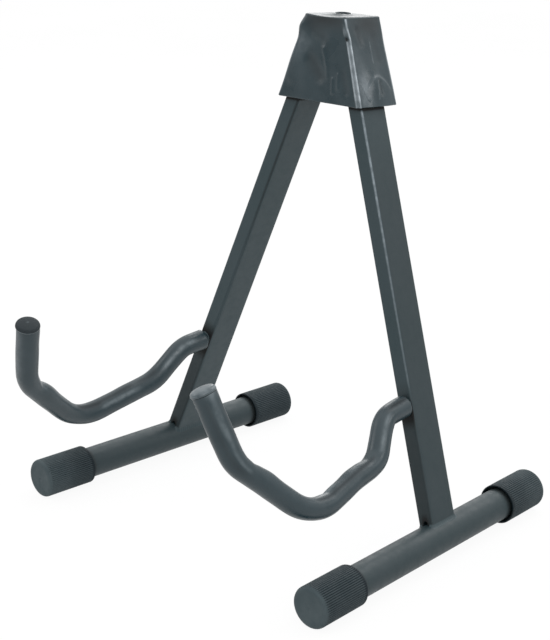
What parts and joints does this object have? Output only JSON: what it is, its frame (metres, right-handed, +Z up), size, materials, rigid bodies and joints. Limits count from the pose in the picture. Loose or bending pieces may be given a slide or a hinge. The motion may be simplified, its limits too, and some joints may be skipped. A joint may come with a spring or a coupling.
{
  "type": "guitar stand",
  "caption": "Folding A-frame guitar stand with bent cradle arms, round feet with ribbed caps and a soft boot over the hinge.",
  "frame": {"origin": "on the floor, under the middle of the open stand", "axes": "+Z up, +X to the right seen from the front, front of the stand towards -Y"},
  "size_m": [0.341, 0.3271, 0.3952],
  "materials": {
    "powder_coat": "satin dark slate-grey powder coat",
    "soft_sleeve": "smooth satin soft PVC, dark slate-grey",
    "boot_vinyl": "semi-gloss soft PVC boot, slightly creased",
    "ribbed_rubber": "matte ribbed rubber",
    "zinc_steel": "zinc-plated pressed steel",
    "nylon": "natural nylon"
  },
  "bodies": {
    "hinge_head": {"hinge_boot": "boot_vinyl", "hinge_bracket": "zinc_steel", "left_pivot_rivet": "zinc_steel", "left_front_washer": "nylon", "left_rear_washer": "nylon", "right_pivot_rivet": "zinc_steel", "right_front_washer": "nylon", "right_rear_washer": "nylon"},
    "left_frame": {"left_leg_tube": "powder_coat", "left_foot_tube": "powder_coat", "left_arm_rod": "powder_coat", "left_arm_sleeve": "soft_sleeve", "left_arm_tip_plug": "soft_sleeve", "left_spacer_bush": "zinc_steel", "left_front_foot_cap": "ribbed_rubber", "left_rear_foot_cap": "ribbed_rubber"},
    "right_frame": {"right_leg_tube": "powder_coat", "right_foot_tube": "powder_coat", "right_arm_rod": "powder_coat", "right_arm_sleeve": "soft_sleeve", "right_arm_tip_plug": "soft_sleeve", "right_spacer_bush": "zinc_steel", "right_front_foot_cap": "ribbed_rubber", "right_rear_foot_cap": "ribbed_rubber"}
  },
  "joints": [
    {"name": "left_leg_fold", "type": "hinge", "parent": "hinge_head", "child": "left_frame", "pos_m": [-0.017, 0.08265, 0.37], "axis": [0, -0.9932, 0.1167], "range_deg": [0, 20.2]},
    {"name": "right_leg_fold", "type": "hinge", "parent": "hinge_head", "child": "right_frame", "pos_m": [0.017, 0.08265, 0.37], "axis": [0, 0.9932, -0.1167], "range_deg": [0, 20.2]}
  ]
}
